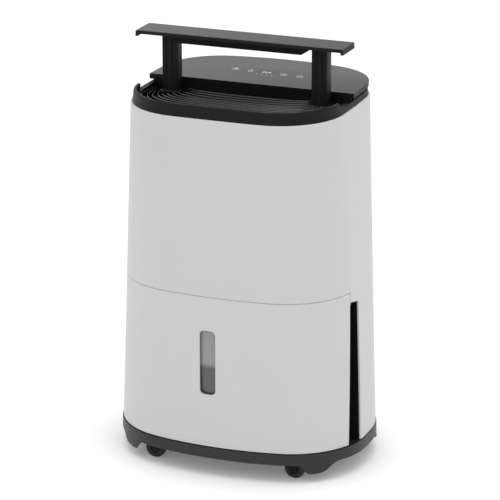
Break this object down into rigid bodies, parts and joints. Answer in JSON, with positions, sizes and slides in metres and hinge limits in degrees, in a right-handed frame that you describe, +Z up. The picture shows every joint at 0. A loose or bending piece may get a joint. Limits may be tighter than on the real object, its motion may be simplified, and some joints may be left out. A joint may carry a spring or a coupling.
{
  "type": "dehumidifier",
  "caption": "Upright compressor dehumidifier on castors with a lift-up carrying handle, top outlet grille, touch panel, pull-out water tank and rear filter cover.",
  "frame": {"origin": "on the floor under the middle of the bounding box", "axes": "+Z up, the front with the water window faces -Y, +X to the right of someone facing the front"},
  "size_m": [0.3772, 0.2914, 0.6273],
  "materials": {
    "white_plastic": "satin moulded white plastic",
    "black_plastic": "fine-textured black plastic",
    "panel_grey": "satin charcoal plastic",
    "inner_black": "matt black moulded plastic",
    "smoke_clear": "translucent smoke plastic",
    "display": "gloss display window",
    "natural_plastic": "natural moulded plastic",
    "rubber": "moulded rubber",
    "steel": "zinc-plated steel",
    "painted_steel": "semi-gloss black paint",
    "copper": "drawn copper tube",
    "fins": "pressed aluminium fins",
    "circuit_board": "green solder mask",
    "foam": "closed-cell foam",
    "filter_mesh": "woven nylon mesh in a frame"
  },
  "bodies": {
    "root": {"base_pan": "black_plastic", "front_cover": "white_plastic", "rear_shell": "white_plastic", "inner_chassis": "inner_black", "top_frame": "black_plastic", "outlet_grille": "black_plastic", "control_panel": "panel_grey", "display_lens": "display", "control_board": "circuit_board", "post_guide_right": "inner_black", "post_guide_left": "inner_black", "compressor": "painted_steel", "compressor_feet": "steel", "accumulator": "painted_steel", "condenser": "fins", "evaporator": "fins", "drip_tray": "natural_plastic", "suction_pipe": "copper", "discharge_pipe": "copper", "filter_drier": "copper", "fan_scroll": "inner_black", "fan_motor": "steel", "electrical_box": "natural_plastic", "capacitor": "steel", "cord_gland": "rubber", "screw_upper_right": "steel", "screw_upper_left": "steel", "screw_lower_right": "steel", "screw_lower_left": "steel"},
    "handle": {"handle_plate": "panel_grey", "handle_post_right": "black_plastic", "handle_post_left": "black_plastic"},
    "tank": {"tank_front": "white_plastic", "tank_tub": "smoke_clear", "tank_lid": "natural_plastic"},
    "bail": {"tank_bail": "black_plastic"},
    "float": {"tank_float": "foam"},
    "impeller": {"fan_impeller": "natural_plastic"},
    "filter": {"filter_cover": "white_plastic", "pre_filter": "filter_mesh"},
    "bung": {"drain_bung": "rubber"},
    "castor_front_right": {"castor_fork_front_right": "black_plastic", "castor_axle_front_right": "steel"},
    "wheel_front_right": {"castor_wheel_front_right": "rubber"},
    "castor_front_left": {"castor_fork_front_left": "black_plastic", "castor_axle_front_left": "steel"},
    "wheel_front_left": {"castor_wheel_front_left": "rubber"},
    "castor_rear_right": {"castor_fork_rear_right": "black_plastic", "castor_axle_rear_right": "steel"},
    "wheel_rear_right": {"castor_wheel_rear_right": "rubber"},
    "castor_rear_left": {"castor_fork_rear_left": "black_plastic", "castor_axle_rear_left": "steel"},
    "wheel_rear_left": {"castor_wheel_rear_left": "rubber"}
  },
  "joints": [
    {"name": "handle_lift", "type": "slide", "parent": "root", "child": "handle", "axis": [0, 0, 1], "range_m": [-0.075, 0]},
    {"name": "tank_slide", "type": "slide", "parent": "root", "child": "tank", "axis": [0, -1, 0], "range_m": [0, 0.17]},
    {"name": "bail_swing", "type": "hinge", "parent": "tank", "child": "bail", "pos_m": [0, -0.072, 0.224], "axis": [1, 0, 0], "range_deg": [0, 90]},
    {"name": "float_swing", "type": "hinge", "parent": "tank", "child": "float", "pos_m": [-0.045, -0.017, 0.224], "axis": [-1, 0, 0], "range_deg": [0, 22]},
    {"name": "fan_spin", "type": "hinge", "parent": "root", "child": "impeller", "pos_m": [0, -0.026, 0.385], "axis": [0, 1, 0], "continuous": true},
    {"name": "filter_pull", "type": "slide", "parent": "root", "child": "filter", "axis": [0, 1, 0], "range_m": [0, 0.04]},
    {"name": "bung_pull", "type": "slide", "parent": "root", "child": "bung", "axis": [0, 1, 0], "range_m": [0, 0.012]},
    {"name": "swivel_front_right", "type": "hinge", "parent": "root", "child": "castor_front_right", "pos_m": [0.097, -0.102, 0.034], "axis": [0, 0, 1], "continuous": true},
    {"name": "roll_front_right", "type": "hinge", "parent": "castor_front_right", "child": "wheel_front_right", "pos_m": [0.109, -0.102, 0.015], "axis": [0, 1, 0], "continuous": true},
    {"name": "swivel_front_left", "type": "hinge", "parent": "root", "child": "castor_front_left", "pos_m": [-0.097, -0.102, 0.034], "axis": [0, 0, 1], "continuous": true},
    {"name": "roll_front_left", "type": "hinge", "parent": "castor_front_left", "child": "wheel_front_left", "pos_m": [-0.109, -0.102, 0.015], "axis": [0, 1, 0], "continuous": true},
    {"name": "swivel_rear_right", "type": "hinge", "parent": "root", "child": "castor_rear_right", "pos_m": [0.097, 0.082, 0.034], "axis": [0, 0, 1], "continuous": true},
    {"name": "roll_rear_right", "type": "hinge", "parent": "castor_rear_right", "child": "wheel_rear_right", "pos_m": [0.109, 0.082, 0.015], "axis": [0, 1, 0], "continuous": true},
    {"name": "swivel_rear_left", "type": "hinge", "parent": "root", "child": "castor_rear_left", "pos_m": [-0.097, 0.082, 0.034], "axis": [0, 0, 1], "continuous": true},
    {"name": "roll_rear_left", "type": "hinge", "parent": "castor_rear_left", "child": "wheel_rear_left", "pos_m": [-0.109, 0.082, 0.015], "axis": [0, 1, 0], "continuous": true}
  ]
}
